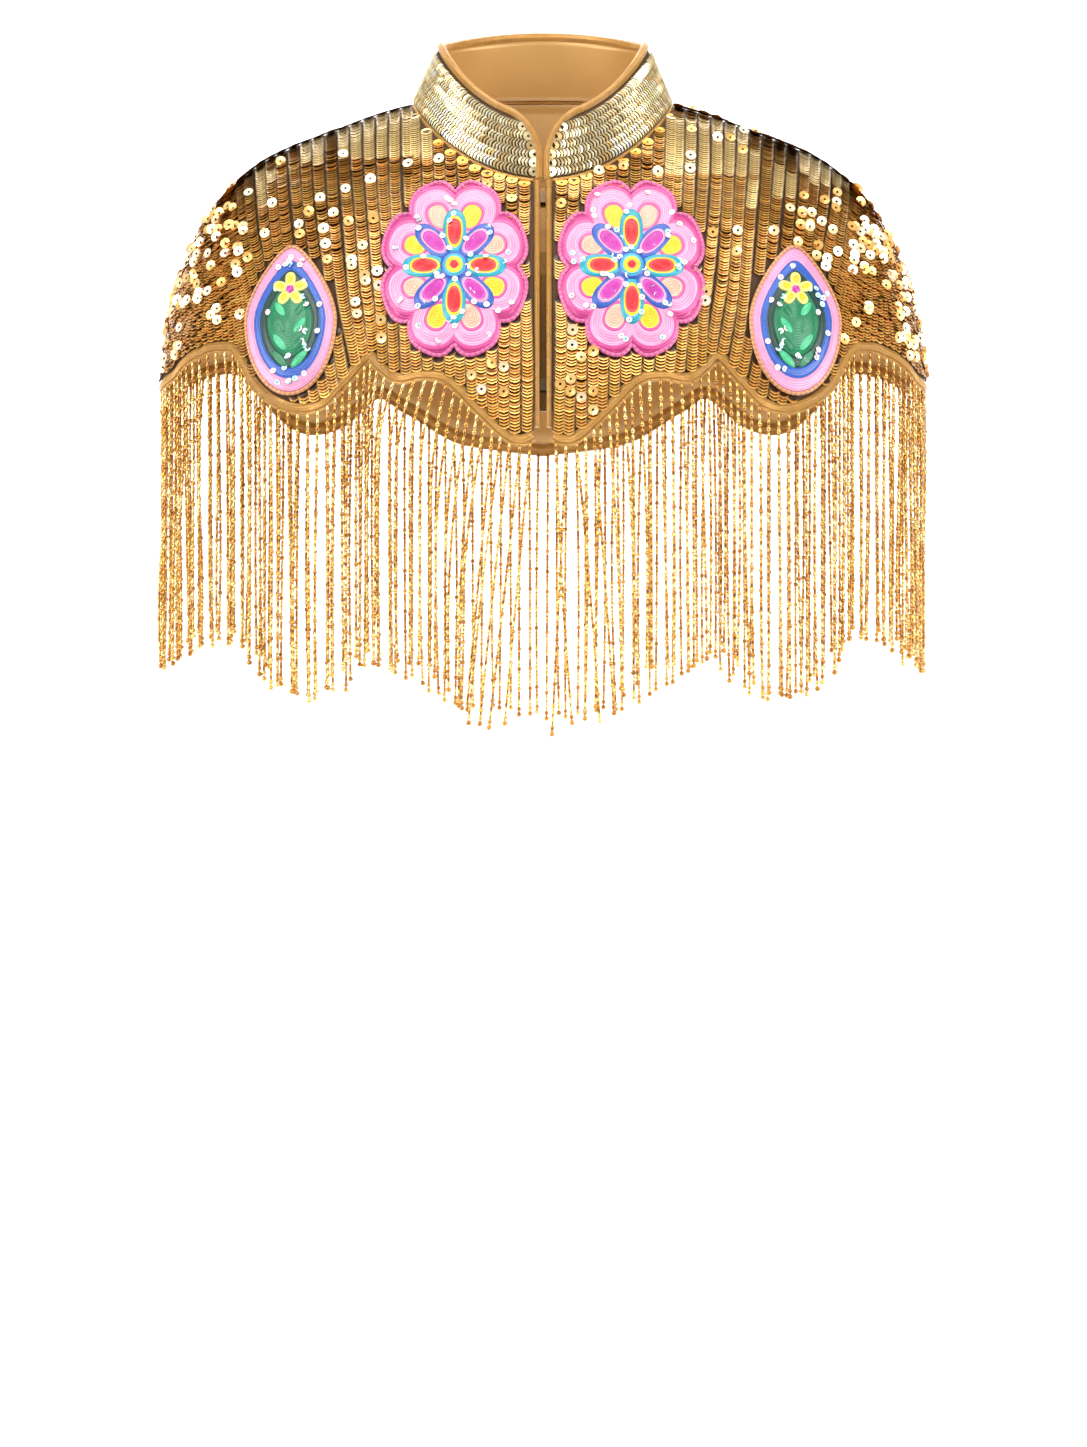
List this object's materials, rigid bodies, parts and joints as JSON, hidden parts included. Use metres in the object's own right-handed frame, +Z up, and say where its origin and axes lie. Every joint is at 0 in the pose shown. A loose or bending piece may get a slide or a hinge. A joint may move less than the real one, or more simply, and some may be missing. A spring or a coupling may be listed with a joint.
{
  "type": "cape",
  "caption": "Short cape with a stand collar, front opening, scalloped hem, raised appliques and a long bead-string fringe, hollow as worn.",
  "frame": {"origin": "middle of the neck base, level with the neck seam at the shoulders, where the wearer's neck and shoulders hold the cape up", "axes": "+Z up, the front faces -Y, +X towards the wearer's left shoulder"},
  "size_m": [0.4758, 0.2563, 0.4484],
  "materials": {
    "sequin_cloth": "cloth covered with overlapping round gold sequins, tan gold satin inside",
    "collar_cloth": "cloth covered with pale champagne sequins, tan gold satin inside",
    "gold_binding": "corded metallic gold binding",
    "satin": "glossy dark gold satin",
    "hook_metal": "darkened metal",
    "applique_pink": "petals of small sequins in pink, red, yellow and turquoise",
    "applique_green": "leaf of emerald sequins with a pink edge and a blue head",
    "bead_string": "shiny gold glass bugle and seed beads"
  },
  "bodies": {
    "root": {"front_left": "sequin_cloth", "front_right": "sequin_cloth", "back": "sequin_cloth", "collar": "collar_cloth", "collar_binding": "gold_binding", "neck_piping": "gold_binding", "front_piping_left": "gold_binding", "front_piping_right": "gold_binding", "hem_binding_front_left": "gold_binding", "hem_binding_front_right": "gold_binding", "hem_binding_back": "gold_binding", "underlap": "satin", "hook_top": "hook_metal", "hook_bottom": "hook_metal", "applique_chest_left": "applique_pink", "applique_chest_right": "applique_pink", "applique_side_left": "applique_green", "applique_side_right": "applique_green", "fringe_front_left": "bead_string", "fringe_front_right": "bead_string", "fringe_back_left": "bead_string", "fringe_back_right": "bead_string"}
  },
  "joints": []
}
